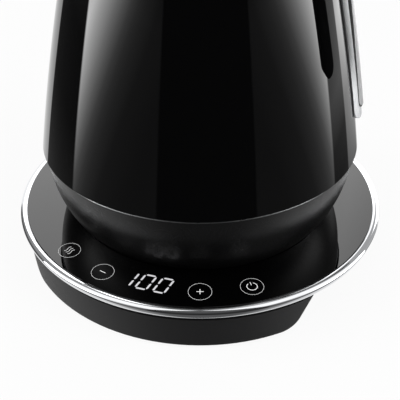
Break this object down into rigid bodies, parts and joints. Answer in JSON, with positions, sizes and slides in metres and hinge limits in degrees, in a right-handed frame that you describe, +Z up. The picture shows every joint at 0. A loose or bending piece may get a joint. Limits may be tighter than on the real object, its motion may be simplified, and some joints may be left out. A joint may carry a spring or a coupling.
{
  "type": "gooseneck kettle",
  "caption": "Conical electric kettle with a gooseneck spout, hanging handle and lift-off lid, on a round cordless touch-control base.",
  "frame": {"origin": "on the kettle's axis, in the plane of the feet's undersides", "axes": "+Z up along the kettle's axis, +X towards the handle, -X towards the spout, -Y is the front"},
  "size_m": [0.2725, 0.1798, 0.2062],
  "materials": {
    "gloss_black": "gloss",
    "satin_black": "satin",
    "matt_black": "matt",
    "chrome": "polished",
    "steel": "brushed",
    "aluminium": "cast",
    "brass": "plain",
    "rubber": "matt",
    "pale_plastic": "natural",
    "board": "laminate",
    "window": "clear smoked"
  },
  "bodies": {
    "base": {"base_housing": "matt_black", "base_bottom_cover": "matt_black", "base_feet": "rubber", "base_cover_screws": "steel", "touch_plate": "gloss_black", "chrome_ring": "chrome", "base_connector": "matt_black", "connector_contacts": "brass", "touch_board": "board", "board_screws": "steel", "touch_pads": "pale_plastic", "display_module": "matt_black", "power_board": "board", "cord_inlet": "rubber"},
    "swivel": {"swivel_ring": "pale_plastic"},
    "kettle": {"plinth": "satin_black", "plinth_cover": "matt_black", "plinth_screws": "steel", "trim_ring": "chrome", "body_gasket": "rubber", "body_shell": "gloss_black", "rim_collar": "chrome", "heater_plate": "steel", "vessel_seal": "rubber", "heat_spreader": "aluminium", "heater_element": "steel", "kettle_socket": "matt_black", "socket_contacts": "brass", "thermal_control": "matt_black", "temperature_probe": "steel", "probe_seal": "rubber", "spout": "gloss_black", "spout_collar": "chrome", "spout_strainer": "steel", "gauge_frame": "chrome", "gauge_seal": "rubber", "gauge_window": "window", "handle_mount": "satin_black", "handle_core": "steel", "handle_inner": "satin_black", "handle_outer": "satin_black", "handle_screws": "matt_black"},
    "lid": {"lid_inner": "steel", "lid_seal": "rubber", "lid_cover": "gloss_black", "lid_knob": "satin_black", "knob_screw": "steel"}
  },
  "joints": [
    {"name": "kettle_swivel", "type": "hinge", "parent": "base", "child": "swivel", "pos_m": [0, 0, 0.0235], "axis": [0, 0, 1], "continuous": true},
    {"name": "kettle_lift", "type": "slide", "parent": "swivel", "child": "kettle", "axis": [0, 0, 1], "range_m": [0, 0.1]},
    {"name": "lid_lift", "type": "slide", "parent": "kettle", "child": "lid", "axis": [0, 0, 1], "range_m": [0, 0.07]}
  ]
}
